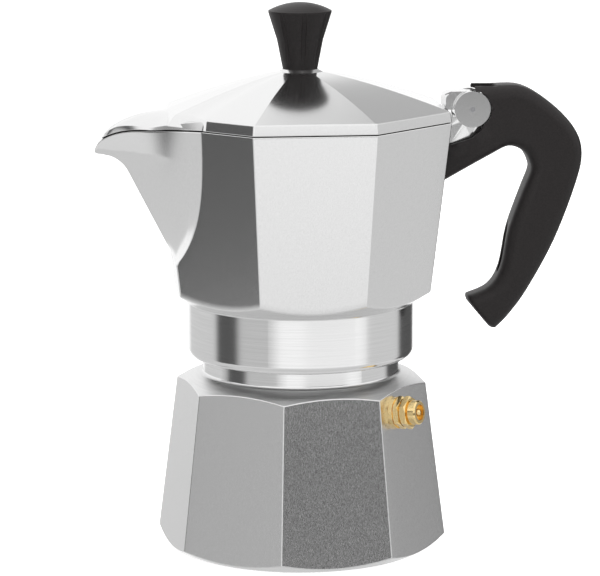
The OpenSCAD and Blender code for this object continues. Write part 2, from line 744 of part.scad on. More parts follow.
module handle_body() {
    n = handle_spans * handle_steps;
    end_dir = handle_inner[handle_spans] - handle_outer[handle_spans];
    out = [-end_dir[1], end_dir[0]] / norm(end_dir);
    sections = concat(
        [for (i = [0 : n]) let (t = i / handle_steps)
            handle_section(spline(handle_outer, t), spline(handle_inner, t),
                handle_w - 2 * max(0, t / handle_spans - 0.7) / 0.3, 0)],
        [for (e = [[0.9, 0.6], [1.5, 1.8]])
            handle_section(handle_outer[handle_spans] + out * e[0],
                handle_inner[handle_spans] + out * e[0], handle_w - 2, e[1])]);
    pts = [for (s = sections) each s];
    translate([pin_x, 0, pin_z]) polyhedron(pts, tube_faces(len(sections), len(sections[0])));
}

module handle_screw_hole(r) {
    translate([pin_x + screw_at, 0, pin_z - far]) cylinder(h = far + tang_high, r = r);
}

head_z = pin_z - 12.6;
head_bore = 20;

module handle() {
    p = handle_play;
    lip_x = 1.1;
    color(black) difference() {
        handle_body();
        at_pin(far) union() {
            circle(ear_r + p);
            polygon(concat([[lip_x, 0]], [[lip_x, far], [-far, far], [-far, -13.6 + p]],
                [for (q = web_low) [q[0], q[1] - p]], [[5, -4]]));
        }
        at_pin(tongue_w + 1) translate([-far, -1]) square([far + knuckle_r + 2.2, far]);
        at_pin(tang_w + p) polygon([[0, tang_low - p], [tang_reach + p, tang_low - p],
            [tang_reach + p, tang_high + p], [0, tang_high + p]]);
        handle_screw_hole(handle_screw_r + 0.15);
        translate([pin_x + screw_at, 0, head_z - head_bore]) cylinder(h = head_bore, r = handle_screw_r * 1.9);
    }
}

module handle_screw() {
    head_r = handle_screw_r * 1.75;
    color(steel) translate([pin_x + screw_at, 0, head_z]) difference() {
        union() {
            translate([0, 0, -2]) cylinder(h = 2, r = head_r);
            translate([0, 0, -eps]) cylinder(h = pin_z + tang_high - head_z - 0.5, r = handle_screw_r);
        }
        translate([-head_r, -0.4, -3]) cube([head_r * 2, 0.8, 1.8]);
    }
}

// ---------------------------------------------------------------- lid

lid_z = top_z + lid_gap;
crown_z = lid_z + skirt_h + skirt_bevel;
apex_z = crown_z + crown_h;
skirt_scale = 1 - skirt_taper / collector_top_r;
crown_scale = skirt_scale - skirt_bevel * 1.4 / collector_top_r;
crown_power = 1.4;
crown_rings = [1, 0.88, 0.76, 0.62, 0.48, 0.34, 0.2, 0.08];
skirt_in = 3;
nose_r = collector_top_r - 2.9;

// Outline of the lid's dome: the octagon, with a point at each crease and a faint ridge to the front
dome_plan = concat([for (a = [-112.5 : 45 : 112.5]) [cos(a), sin(a)] * collector_top_r],
    [[crease_x, crease_y], [cos(157.5), sin(157.5)] * collector_top_r, [-nose_r, 0],
        [cos(157.5), -sin(157.5)] * collector_top_r, [crease_x, -crease_y]]);
// The skirt's lower edge is drawn in where the spout leaves the octagon
function skirt_low(i) = dome_plan[i] * (i >= 7 && i <= 9 ? 1 - skirt_in / collector_top_r : 1);

// Ring of the dome's upper side at a share f of its radius, sunk by drop and drawn in by wall
function dome_ring(f, drop, wall) = [for (p = dome_plan)
    let (q = p * (1 - wall / norm(p)) * f * crown_scale)
    [q[0], q[1], crown_z + crown_h * (1 - pow(f, crown_power)) - drop]];

module dome(drop, wall, low) {
    edge = [for (p = dome_plan) let (q = p * (1 - wall / norm(p)) * skirt_scale)
        [q[0], q[1], lid_z + skirt_h - drop]];
    foot = [for (i = [0 : len(dome_plan) - 1]) let (p = skirt_low(i), q = p * (1 - wall / norm(p)))
        [q[0], q[1], low]];
    loft(concat([foot, edge], [for (f = crown_rings) dome_ring(f, drop, wall)]),
        [0, 0, low], [0, 0, apex_z - drop]);
}

// The beak carries the lid's edge out along the spout and stops short of the tip
beak_step = last_step - 2;
beak_round = 5.5;
beak_rings = [1, 0.94, 0.86, 0.76, 0.64, 0.5, 0.3];
beak_power = 3.3;
beak_top = lid_z + skirt_h - 0.1;
beak_inset = 0.15;
lid_tip = -spout_reach + beak_back;
beak_half = [for (i = [0 : beak_step]) let (p = flank_point(rim_heights[i], 0, flank_steps[i])) p];
beak_plan = concat([for (p = beak_half) [p[0], -p[1]]], [[lid_tip, 0]],
    [for (i = [beak_step : -1 : 0]) beak_half[i]]);

// Height of the beak's edge over the rim, rounding off at the tip
function edge_h(x) = x >= rim_knee_x
    ? skirt_h + (beak_h - skirt_h) * max(0, crease_x - x) / (crease_x - rim_knee_x)
    : let (q = max(0, lid_tip + beak_round - x) / beak_round)
        0.3 + (beak_h - 0.3) * sqrt(max(0, 1 - q * q));

// Ring of the beak's upper side, at a share f of its size round the middle of the crease line
function beak_ring(f, drop, wall) = [for (p = beak_plan)
    let (q = p * (1 - (beak_inset + wall) / norm(p)), edge = rim_height(p[0]) + lid_gap + edge_h(p[0]) - 0.1)
    [crease_x + (q[0] - crease_x) * f, q[1] * f, edge + (beak_top - edge) * (1 - pow(f, beak_power)) - drop]];

module beak(drop, wall, gap) {
    foot = [for (p = beak_plan) let (q = p * (1 - (beak_inset + wall) / norm(p)))
        [q[0], q[1], rim_height(p[0]) + gap]];
    loft(concat([foot], [for (f = beak_rings) beak_ring(f, drop, wall)]),
        [crease_x, 0, top_z + gap], [crease_x, 0, beak_top - drop]);
}

module lid_knuckle() {
    arm_top = ear_r - 0.3;
    root = -pin_out - 3;
    block = -9.9;
    at_pin(tongue_w) union() {
        circle(knuckle_r);
        polygon([[0, arm_top], [-8, arm_top], [root, 4.6], [root, 0], [-pin_out, -0.3], [0, -0.3]]);
    }
    at_pin(ear_w - 0.6) polygon([[block, 4.4], [root, 4.8], [root, 0.4], [block, 0.8]]);
}

module lid() {
    boss_r = knob_foot_r + 0.6;
    side_wall = lid_wall * 1.3;
    color(cast) difference() {
        union() {
            difference() {
                union() {
                    dome(0, 0, lid_z);
                    beak(0, 0, lid_gap + beak_inset);
                    intersection() {
                        lid_knuckle();
                        translate([apothem(top_z) - 3, -far / 2, top_z]) cube(far);
                    }
                }
                dome(lid_wall, side_wall, top_z - 1);
                beak(lid_wall, side_wall, -1 - beak_inset);
            }
            translate([0, 0, apex_z - screw_grip]) cylinder(h = screw_grip, r = boss_r);
        }
        translate([0, 0, top_z]) cylinder(h = far, r = knob_screw_r + 0.15);
        pin_hole(pin_r + pin_play);
    }
}

// ---------------------------------------------------------------- knob

knob_z = apex_z;
insert_h = 11;
screw_grip = lid_wall + 1.2;
washer_t = 0.8;
washer_r = knob_screw_r * 2.1;

module knob() {
    waist = 0.45;
    mid_r = knob_foot_r + (knob_r - knob_foot_r) * waist;
    dome_r = (knob_r * knob_r + knob_dome_h * knob_dome_h) / 2 / knob_dome_h;
    flute_r = 1.1;
    flute_z = knob_z + knob_h * 0.52;
    bow_r = knob_h * 2.4;
    color(black) difference() {
        rotate_extrude() polygon(concat([[0, knob_z], [knob_foot_r, knob_z],
            [mid_r - 0.3, knob_z + knob_h * 0.5], [knob_r, knob_z + knob_h - 0.6],
            [knob_r, knob_z + knob_h]],
            [for (i = [1 : 8]) let (r = knob_r * (1 - i / 8))
                [r, knob_z + knob_h + knob_dome_h - dome_r + sqrt(dome_r * dome_r - r * r)]]));
        for (i = [0 : knob_flutes - 1]) rotate([0, 0, i * 360 / knob_flutes - 87])
            translate([mid_r, 0, flute_z]) rotate([0, atan((knob_r - knob_foot_r) / knob_h), 0])
                translate([bow_r + flute_r - flute_depth, 0, 0]) rotate([90, 0, 0])
                    rotate_extrude() translate([bow_r, 0]) circle(flute_r);
        translate([0, 0, knob_z - 1]) cylinder(h = insert_h + 1.2, r = knob_screw_r + insert_wall);
    }
}

module knob_insert() {
    color(brass) translate([0, 0, knob_z]) difference() {
        cylinder(h = insert_h, r = knob_screw_r + insert_wall);
        translate([0, 0, -1]) cylinder(h = insert_h + 2, r = knob_screw_r);
    }
}

module knob_washer() {
    color(steel) translate([0, 0, apex_z - screw_grip - washer_t]) difference() {
        cylinder(h = washer_t, r = washer_r);
        translate([0, 0, -1]) cylinder(h = washer_t + 2, r = knob_screw_r + 0.1);
    }
}

module knob_screw() {
    head_r = knob_screw_r * 1.85;
    head_h = 2;
    low = apex_z - screw_grip - washer_t;
    color(steel) difference() {
        union() {
            translate([0, 0, low - head_h]) cylinder(h = head_h, r = head_r);
            translate([0, 0, low - eps]) cylinder(h = knob_z + insert_h - 1 - low, r = knob_screw_r);
        }
        translate([-head_r, -0.4, low - head_h - 1]) cube([head_r * 2, 0.8, 1.9]);
    }
}

boiler();
valve_body();
valve_washer();
valve_cap();
valve_piston();
valve_spring();
funnel_basket();
funnel_stem();
funnel_screen();
gasket();
filter_plate();
collector();
hinge_pin();
handle();
handle_screw();
lid();
knob();
knob_insert();
knob_screw();
knob_washer();
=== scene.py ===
import math

import bmesh
import bpy
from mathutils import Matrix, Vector


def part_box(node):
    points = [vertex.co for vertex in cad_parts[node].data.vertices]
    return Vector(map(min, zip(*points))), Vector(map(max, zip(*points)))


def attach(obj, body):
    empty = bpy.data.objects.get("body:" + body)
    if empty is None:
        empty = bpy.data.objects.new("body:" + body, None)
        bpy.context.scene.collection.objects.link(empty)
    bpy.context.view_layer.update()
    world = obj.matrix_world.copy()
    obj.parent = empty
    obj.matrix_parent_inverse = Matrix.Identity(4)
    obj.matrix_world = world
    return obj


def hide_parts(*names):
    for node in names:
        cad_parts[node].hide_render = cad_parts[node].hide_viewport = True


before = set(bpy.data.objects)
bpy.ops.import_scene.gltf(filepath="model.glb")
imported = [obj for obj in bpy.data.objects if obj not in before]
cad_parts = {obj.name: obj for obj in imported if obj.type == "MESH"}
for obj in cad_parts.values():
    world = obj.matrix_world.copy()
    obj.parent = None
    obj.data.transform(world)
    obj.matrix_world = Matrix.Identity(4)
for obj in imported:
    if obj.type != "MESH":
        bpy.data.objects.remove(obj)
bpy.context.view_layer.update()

MM = 0.001
EIGHTH = math.radians(45)
HALF_FACE = math.radians(22.5)


def top_mm(node):
    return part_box(node)[1].z / MM


def bottom_mm(node):
    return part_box(node)[0].z / MM


# ---------------------------------------------------------------- sizes in millimetres

# Boiler: a cast octagon that leans in, with a turned foot, shoulder and neck
BOILER_RIM_Z = top_mm("boiler")
BOILER_FOOT_R = 56.0
BOILER_TOP_R = 48.4
BOILER_FOOT_Z = 4.0
BOILER_TOP_Z = BOILER_RIM_Z - 24.7
BOILER_TURN = math.radians(9.2)
FOOT_R = 49.8
FOOT_SLOPE = BOILER_FOOT_Z / (BOILER_FOOT_R - FOOT_R)
SHOULDER_SLOPE = math.tan(math.radians(22.5))
NECK_R = 37.8
MOUTH_R = 32.4
BOILER_WALL = 3.2
BOILER_FLOOR_Z = 3.5
FLOOR_FILLET = 4
DISH_DEPTH = 0.6
DISH_IN = 6

# Thread ridges on the neck and in the collar
PITCH = 3.0
RIDGE = 1.1
RIDGES = 3
RIDGE_ROOT = 1.08
RIDGE_CREST = 0.39
THREAD_PLAY = 0.3
# How many pitches the top ridge stands below the boiler's rim
NECK_RIDGE = 0.7
COLLAR_RIDGE = 1.2

# Collector: turned collar, flaring octagon, and a spout folded out of one face
COLLAR_R = 43.3
COLLAR_ROUND = 3.2
COLLAR_LOW_Z = bottom_mm("collector")
COLLAR_TOP_Z = BOILER_RIM_Z + 7.0
COLLECTOR_LOW_R = 51.5
COLLECTOR_TOP_R = 59.4
COLLECTOR_LOW_Z = COLLAR_TOP_Z + 5.3
COLLECTOR_H = 64.7
RIM_Z = COLLECTOR_LOW_Z + COLLECTOR_H
WALL = 2.8
FLOOR_Z = COLLAR_TOP_Z + 6.4
COLUMN_H = 47.0
COLUMN_R = 5.4
COLUMN_BORE_R = 3.2
COLUMN_BORE_H = 30
GASKET_R = 36.3
GASKET_TOP_Z = top_mm("gasket")
PLATE_R = 31.3
PLATE_TOP_Z = top_mm("filter_plate")

# Spout
SPOUT_Z = COLLECTOR_LOW_Z + 12.6
TIP_Z = RIM_Z - 12.7
KEEL_LEAN = math.radians(27)
KEEL_TURN = math.radians(63)
KEEL_CURVE_R = 12.5
LIP_LENGTH = 1.6
LIP_T = 1.1
LIP_WALL = 0.8
LIP_RAMP = 0.4
HOLLOW = 2.0
CREASE_TOP = 1.2
CREASE_FADE = 17.5
RIM_DROP = 2.5
LIP_CURVE = 20.3

# Lid
LID_GAP = 0.3
SKIRT_H = 3.7
SKIRT_TAPER = 0.6
SKIRT_BEVEL = 0.5
CROWN_POWER = 1.4
NOSE_R = COLLECTOR_TOP_R - 2.9
SKIRT_IN = 3.0
BROW_IN = 5.6
BEAK_POWER = 3.3
BEAK_H = 2.5
KNEE_H = 1.3
BEAK_BACK = 2.4
LID_WALL = 1.8
LID_TOP_Z = bottom_mm("knob")
SEAT_R = 7.2


# ---------------------------------------------------------------- mesh helpers

def ring_of(bm, points):
    """The first ring of a shell, as a circle that takes the given points."""
    ring = bmesh.ops.create_circle(bm, segments=len(points), radius=1)["verts"]
    for vert, point in zip(ring, points):
        vert.co = point
    return ring


def pull(bm, ring, points, slot=0):
    """Draws a ring out to new points and returns the new ring."""
    edges = [bm.edges.get((a, b)) for a, b in zip(ring, ring[1:] + ring[:1])]
    made = bmesh.ops.extrude_edge_only(bm, edges=edges)["geom"]
    fresh = {item for item in made if isinstance(item, bmesh.types.BMVert)}
    twins = [next(e.other_vert(v) for e in v.link_edges if e.other_vert(v) in fresh) for v in ring]
    for vert, point in zip(twins, points):
        vert.co = point
    for item in made:
        if isinstance(item, bmesh.types.BMFace):
            item.material_index = slot
    return twins


def cap(bm, ring, slot=0):
    edges = [bm.edges.get((a, b)) for a, b in zip(ring, ring[1:] + ring[:1])]
    for item in bmesh.ops.contextual_create(bm, geom=edges)["faces"]:
        item.material_index = slot


def piece(name, bm, body, materials, replaced=None, in_mm=True, sharp=32):
    """Closes a bmesh into a finished piece that rides on its body."""
    if in_mm:
        bmesh.ops.scale(bm, vec=(MM, MM, MM), verts=bm.verts)
    bmesh.ops.remove_doubles(bm, verts=bm.verts, dist=0.5e-6)
    bmesh.ops.recalc_face_normals(bm, faces=bm.faces)
    mesh = bpy.data.meshes.new(name)
    bm.to_mesh(mesh)
    bm.free()
    mesh.shade_smooth()
    mesh.set_sharp_from_angle(angle=math.radians(sharp))
    for material in materials:
        mesh.materials.append(material)
    made = bpy.data.objects.new(name, mesh)
    bpy.context.scene.collection.objects.link(made)
    normals = made.modifiers.new("flat_faces", "WEIGHTED_NORMAL")
    normals.keep_sharp = True
    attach(made, body)
    if replaced:
        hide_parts(replaced)
    return made


def copy_of(node):
    """A merged copy of a CAD node's mesh, still in metres."""
    bm = bmesh.new()
    bm.from_mesh(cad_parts[node].data)
    bmesh.ops.remove_doubles(bm, verts=bm.verts, dist=1e-6)
    return bm


# ---------------------------------------------------------------- outlines

EDGE_STEPS = 4
FACE_STEPS = 8


def octagon(flat, turn, edge_r):
    """A regular octagon, flat across its faces, whose corners have a small radius."""
    points = []
    centre_r = (flat - edge_r) / math.cos(HALF_FACE)
    for side in range(8):
        corner = turn + HALF_FACE + EIGHTH * side
        centre = Vector((centre_r * math.cos(corner), centre_r * math.sin(corner), 0))
        arc = [centre + edge_r * Vector((math.cos(a), math.sin(a), 0))
               for a in (corner - HALF_FACE + EIGHTH * s / EDGE_STEPS for s in range(EDGE_STEPS + 1))]
        after = corner + EIGHTH
        follow = Vector((centre_r * math.cos(after), centre_r * math.sin(after), 0))
        start = follow + edge_r * Vector((math.cos(after - HALF_FACE), math.sin(after - HALF_FACE), 0))
        points += arc
        points += [arc[-1].lerp(start, s / FACE_STEPS) for s in range(1, FACE_STEPS)]
    return points


def outward(p):
    """The level direction from the axis to a point."""
    return Vector((p.x, p.y, 0)).normalized()


def circle_like(points, r, z):
    """A circle whose points stand at the same bearings as those of another ring."""
    return [outward(p) * r + Vector((0, 0, z)) for p in points]


HALVINGS = 28


def solve(test, low, high):
    """The height at which test changes sign."""
    rising = test(high) > 0
    for _ in range(HALVINGS):
        middle = (low + high) / 2
        if (test(middle) > 0) == rising:
            high = middle
        else:
            low = middle
    return (low + high) / 2


# ---------------------------------------------------------------- materials

def linear(value):
    """An sRGB hex colour as linear RGBA."""
    parts = [int(value[i:i + 2], 16) / 255 for i in (1, 3, 5)]
    return tuple(c / 12.92 if c <= 0.04045 else ((c + 0.055) / 1.055) ** 2.4 for c in parts) + (1,)


def add(tree, kind, settings=None, inputs=None):
    """Adds a node, with its settings, its values and its links."""
    made = tree.nodes.new(kind)
    for key, value in (settings or {}).items():
        setattr(made, key, value)
    for key, value in (inputs or {}).items():
        if isinstance(value, bpy.types.NodeSocket):
            tree.links.new(value, made.inputs[key])
        else:
            made.inputs[key].default_value = value
    return made


def new_material(name, values):
    material = bpy.data.materials.new(name)
    material.use_nodes = True
    tree = material.node_tree
    shader = tree.nodes["Principled BSDF"]
    for key, value in values.items():
        shader.inputs[key].default_value = value
    return material, tree, shader


def stretched(tree, scale):
    """Object coordinates in millimetres, divided by the size of one mark along each axis."""
    place = add(tree, "ShaderNodeTexCoord")
    return add(tree, "ShaderNodeMapping", None,
               {"Vector": place.outputs["Object"], "Scale": [1 / (MM * s) for s in scale]})


def ramp(tree, fac, stops):
    made = add(tree, "ShaderNodeValToRGB", None, {"Fac": fac})
    bar = made.color_ramp
    bar.elements[0].position, bar.elements[0].color = stops[0][0], stops[0][1]
    bar.elements[1].position, bar.elements[1].color = stops[-1][0], stops[-1][1]
    for position, colour in stops[1:-1]:
        bar.elements.new(position).color = colour
    return made


def metal(name, light, dark, roughness, spread, mark, bump, height):
    """A bare metal whose finish is made of marks of one size, in millimetres along each axis."""
    material, tree, shader = new_material(name, {"Metallic": 1.0})
    noise = add(tree, "ShaderNodeTexNoise", None,
                {"Vector": stretched(tree, mark).outputs["Vector"],
                 "Scale": 1.0, "Detail": 3.0, "Roughness": 0.6})
    tone = ramp(tree, noise.outputs["Fac"], [(0.3, linear(dark)), (0.7, linear(light))])
    tree.links.new(tone.outputs["Color"], shader.inputs["Base Color"])
    rough = add(tree, "ShaderNodeMapRange", None,
                {"Value": noise.outputs["Fac"], "From Min": 0.3, "From Max": 0.7,
                 "To Min": roughness - spread, "To Max": roughness + spread})
    tree.links.new(rough.outputs["Result"], shader.inputs["Roughness"])
    relief = add(tree, "ShaderNodeBump", None,
                 {"Height": noise.outputs["Fac"], "Strength": bump, "Distance": height * MM})
    tree.links.new(relief.outputs["Normal"], shader.inputs["Normal"])
    return material


# Cast aluminium, ground with a fine belt: soft reflections, with a grain that runs up the faces
ground_aluminium = metal("ground_cast_aluminium", "#e4e4e4", "#d6d6d6",
                         0.22, 0.04, (0.3, 0.3, 1.0), 0.015, 0.02)
# Cast aluminium, polished on a wheel: clearer reflections, with the faintest grain
polished_aluminium = metal("polished_cast_aluminium", "#ececec", "#e2e2e2",
                           0.16, 0.02, (0.25, 0.25, 0.9), 0.06, 0.01)
# Cast aluminium, faced on a lathe: rings that stretch each reflection up and down
turned_aluminium = metal("turned_cast_aluminium", "#ececec", "#e2e2e2", 0.15, 0.02, (30, 30, 0.4), 0.08, 0.02)
# Cast aluminium, faced with a coarser cut: a shoulder that only holds broad, dim shapes
coarse_aluminium = metal("coarse_turned_cast_aluminium", "#e6e6e6", "#d8d8d8",
                         0.32, 0.04, (20, 20, 0.5), 0.15, 0.02)
# Cast aluminium as it leaves the mould, inside the pot: dull, with an even grit
raw_aluminium = metal("raw_cast_aluminium", "#d0d0cf", "#b4b4b3", 0.42, 0.06, (0.9, 0.9, 0.9), 0.4, 0.05)
# Pressed aluminium sheet: a satin skin with hardly any grain
sheet_aluminium = metal("pressed_aluminium_sheet", "#dededd", "#cfcfce",
                        0.3, 0.04, (1.2, 1.2, 1.2), 0.15, 0.02)
# Free-cutting brass, turned: warm, with small bright tool marks
turned_brass = metal("turned_brass", "#fbe2aa", "#eecf8e", 0.2, 0.04, (0.5, 0.5, 0.5), 0.15, 0.02)
# Bright steel wire and screws: hard, clear reflections
bright_steel = metal("bright_steel", "#cfcfd2", "#bdbdc0", 0.2, 0.04, (0.5, 0.5, 0.5), 0.1, 0.01)


SKIN_SPREAD = 0.04


def plastic(name, light, dark, roughness, grit, bump, height):
    """A moulded plastic or rubber whose skin has one even grit, in millimetres."""
    material, tree, shader = new_material(name, {"Specular IOR Level": 0.22, "IOR": 1.49})
    noise = add(tree, "ShaderNodeTexNoise", None,
                {"Vector": stretched(tree, (grit,) * 3).outputs["Vector"], "Scale": 1.0, "Detail": 2.0})
    tone = ramp(tree, noise.outputs["Fac"], [(0.3, linear(dark)), (0.7, linear(light))])
    tree.links.new(tone.outputs["Color"], shader.inputs["Base Color"])
    rough = add(tree, "ShaderNodeMapRange", None,
                {"Value": noise.outputs["Fac"], "From Min": 0.3, "From Max": 0.7,
                 "To Min": roughness - SKIN_SPREAD, "To Max": roughness + SKIN_SPREAD})
    tree.links.new(rough.outputs["Result"], shader.inputs["Roughness"])
    relief = add(tree, "ShaderNodeBump", None,
                 {"Height": noise.outputs["Fac"], "Strength": bump, "Distance": height * MM})
    tree.links.new(relief.outputs["Normal"], shader.inputs["Normal"])
    return material


# Phenolic plastic, compression moulded: near black, with a fine grit that softens its highlights
moulded_phenolic = plastic("moulded_black_phenolic", "#242121", "#1c1a1a", 0.42, 0.6, 0.25, 0.03)
# Moulded silicone rubber: off-white and dull
seal_rubber = plastic("moulded_silicone_rubber", "#e4e1d8", "#d8d5cb", 0.55, 0.8, 0.2, 0.03)


# ---------------------------------------------------------------- boiler

def boiler_flat(z):
    lean = (BOILER_FOOT_R - BOILER_TOP_R) / (BOILER_TOP_Z - BOILER_FOOT_Z)
    return (BOILER_FOOT_R - lean * (z - BOILER_FOOT_Z)) * math.cos(HALF_FACE)


CORNER_R = 1.0
EDGE = 0.35
FOOT_CUT = 0.08
EDGE_CUT = 0.1


def boiler_ring(z):
    return [p + Vector((0, 0, z)) for p in octagon(boiler_flat(z), BOILER_TURN, CORNER_R)]


def make_boiler():
    bm = bmesh.new()
    plan = boiler_ring(0)
    count = len(plan)

    def foot_z(r):
        return (r - FOOT_R) * FOOT_SLOPE

    def shoulder_z(r):
        return BOILER_TOP_Z + (BOILER_TOP_R - r) * SHOULDER_SLOPE

    # Where each upright line of the octagon meets the turned foot and shoulder
    samples = 12
    foot_span = 6
    foot_rings = [boiler_ring(foot_span * s / samples) for s in range(samples + 1)]
    top_span = 5
    top_low = BOILER_TOP_Z - 1
    top_rings = [boiler_ring(top_low + top_span * s / samples) for s in range(samples + 1)]

    def along(rings, i, z, z0, span):
        t = (z - z0) / span * samples
        k = min(int(t), samples - 1)
        return rings[k][i].lerp(rings[k + 1][i], t - k)

    low = [solve(lambda z: z - foot_z(along(foot_rings, i, z, 0, foot_span).xy.length), 0, foot_span)
           for i in range(count)]
    high = [solve(lambda z: z - shoulder_z(along(top_rings, i, z, top_low, top_span).xy.length),
                  top_low, top_low + top_span) for i in range(count)]
    meet_low = [along(foot_rings, i, low[i], 0, foot_span) for i in range(count)]
    meet_high = [along(top_rings, i, high[i], top_low, top_span) for i in range(count)]

    def on_cone(point, step, height):
        r = point.xy.length - step
        return outward(point) * r + Vector((0, 0, height(r)))

    ground, turned, raw, coarse = range(4)
    ring = ring_of(bm, circle_like(plan, FOOT_R - DISH_IN - 1, DISH_DEPTH))
    cap(bm, ring, turned)
    for r, z in ((FOOT_R - DISH_IN, DISH_DEPTH), (FOOT_R - DISH_IN, 0), (FOOT_R - 0.4, 0), (FOOT_R, 0.12)):
        ring = pull(bm, ring, circle_like(plan, r, z), turned)
    ring = pull(bm, ring, [on_cone(p, EDGE, foot_z) for p in meet_low], turned)
    ring = pull(bm, ring, [p - outward(p) * FOOT_CUT for p in meet_low], turned)
    ring = pull(bm, ring, [p.lerp(q, EDGE / (q.z - p.z)) for p, q in zip(meet_low, meet_high)], ground)
    ring = pull(bm, ring, [q.lerp(p, EDGE / (q.z - p.z)) for p, q in zip(meet_low, meet_high)], ground)
    ring = pull(bm, ring, [p - outward(p) * EDGE_CUT for p in meet_high], ground)
    ring = pull(bm, ring, [on_cone(p, EDGE, shoulder_z) for p in meet_high], coarse)
    # A small fillet, still in the coarser cut
    neck_z = shoulder_z(NECK_R)
    for r, z in ((NECK_R + 1.2, shoulder_z(NECK_R + 1.2)), (NECK_R + 0.6, shoulder_z(NECK_R + 0.6) + 0.08),
                 (NECK_R + 0.2, neck_z + 0.3)):
        ring = pull(bm, ring, circle_like(plan, r, z), coarse)
    # The neck, its thread, the rim and the mouth
    profile = [(NECK_R, neck_z + 0.8)]
    for i in reversed(range(RIDGES)):
        z = BOILER_RIM_Z - PITCH * (i + NECK_RIDGE)
        profile += [(NECK_R, z - RIDGE_ROOT), (NECK_R + RIDGE, z - RIDGE_CREST),
                    (NECK_R + RIDGE, z + RIDGE_CREST), (NECK_R, z + RIDGE_ROOT)]
    profile += [(NECK_R, BOILER_RIM_Z - 0.3), (NECK_R - 0.3, BOILER_RIM_Z), (MOUTH_R + 0.3, BOILER_RIM_Z),
                (MOUTH_R, BOILER_RIM_Z - 0.3), (MOUTH_R, neck_z - 1)]
    for r, z in profile:
        ring = pull(bm, ring, circle_like(plan, r, z), turned)
    # The inside, down to a round floor
    wall_r = boiler_flat(BOILER_TOP_Z) - BOILER_WALL
    floor_r = boiler_flat(BOILER_FLOOR_Z) - BOILER_WALL
    fillet_z = BOILER_FLOOR_Z + FLOOR_FILLET
    inside = [(wall_r, shoulder_z(wall_r) - BOILER_WALL / math.cos(HALF_FACE)), (floor_r, fillet_z)]
    inside += [(floor_r - FLOOR_FILLET * (1 - math.cos(a)), fillet_z - FLOOR_FILLET * math.sin(a))
               for a in (math.radians(d) for d in (20, 40, 60, 80, 90))]
    inside += [(2, BOILER_FLOOR_Z)]
    for r, z in inside:
        ring = pull(bm, ring, circle_like(plan, r, z), raw)
    cap(bm, ring, raw)
    piece("boiler_casting", bm, "base",
          [ground_aluminium, turned_aluminium, raw_aluminium, coarse_aluminium], "boiler", sharp=50)


# ---------------------------------------------------------------- collector outline

def corner_r(z):
    return COLLECTOR_LOW_R + (COLLECTOR_TOP_R - COLLECTOR_LOW_R) * (z - COLLECTOR_LOW_Z) / COLLECTOR_H


def flat(z):
    return corner_r(z) * math.cos(HALF_FACE)


KEEL_Z = TIP_Z - KEEL_CURVE_R * (1 - math.cos(KEEL_TURN))
KEEL_X = flat(SPOUT_Z) + math.tan(KEEL_LEAN) * (KEEL_Z - SPOUT_Z)
CURVE_X = KEEL_X + KEEL_CURVE_R * math.sin(KEEL_TURN)
REACH = CURVE_X + LIP_LENGTH


def keel_line(z):
    return flat(SPOUT_Z) + math.tan(KEEL_LEAN) * (z - SPOUT_Z)


def keel(z):
    """How far the spout's keel stands from the axis: straight, an arc, then the lip's leaning edge."""
    if z <= SPOUT_Z:
        return flat(z)
    if z <= KEEL_Z:
        return keel_line(z)
    if z < TIP_Z:
        angle = math.acos(math.cos(KEEL_TURN) + (z - KEEL_Z) / KEEL_CURVE_R)
        return KEEL_X + KEEL_CURVE_R * (math.sin(KEEL_TURN) - math.sin(angle))
    edge = REACH + keel_line(z) - keel_line(TIP_Z + LIP_T)
    return min(edge, CURVE_X + LIP_LENGTH * (z - TIP_Z) / LIP_RAMP)


def flare(z):
    """How far the keel stands out from its straight line."""
    return keel(z) - keel_line(z) if z > KEEL_Z else 0


def channel(z, wall):
    """The keel of the spout's inner side."""
    if z <= SPOUT_Z:
        return flat(z) - wall
    near_tip = max(0, min(1, (z - KEEL_Z) / (TIP_Z + LIP_T - KEEL_Z)))
    return keel(z - LIP_T) - (wall * 1.2 - (wall * 1.2 - LIP_WALL) * near_tip)


def crease(z, wall):
    """How far the flank's crease stands from the middle of its face."""
    full = math.tan(HALF_FACE)
    widest = (flat(z) - wall) * full
    if z <= SPOUT_Z:
        return widest
    foot = flat(SPOUT_Z) * full
    return min(widest, CREASE_TOP + (foot - CREASE_TOP) * math.exp((SPOUT_Z - z) / CREASE_FADE))


FLANK_STEPS = 26
BEND_STEPS = 4
CROWDING = 1.5
FLARE_POWER = 5
COLLECTOR_EDGE = 0.45
CREASE_EDGE = 0.9


def bend(before, corner, after, reach):
    """A small radius in place of a corner."""
    a = corner + (before - corner).normalized() * reach
    b = corner + (after - corner).normalized() * reach
    return [a.lerp(corner, t).lerp(corner.lerp(b, t), t)
            for t in (s / BEND_STEPS for s in range(BEND_STEPS + 1))]


def flank(z, wall):
    """Points of the spout's flank at height z, from its crease to the keel, hollow between them."""
    a = flat(z) - wall
    u = crease(z, wall)
    more = flare(z - (LIP_T if wall else 0))
    start = Vector((-(a + u), -(a - u))) * math.sqrt(0.5)
    end = Vector((more - (channel(z, wall) if wall else keel(z)), 0))
    sink = HOLLOW * max(0, keel_line(z) - flat(z)) / (keel_line(TIP_Z) - flat(TIP_Z))
    chord = end - start
    side = Vector((chord.y, -chord.x)).normalized()
    return [start + chord * k + side * 4 * sink * k * (1 - k) - Vector((more * k ** FLARE_POWER, 0))
            for k in (1 - (1 - s / FLANK_STEPS) ** CROWDING for s in range(FLANK_STEPS + 1))]


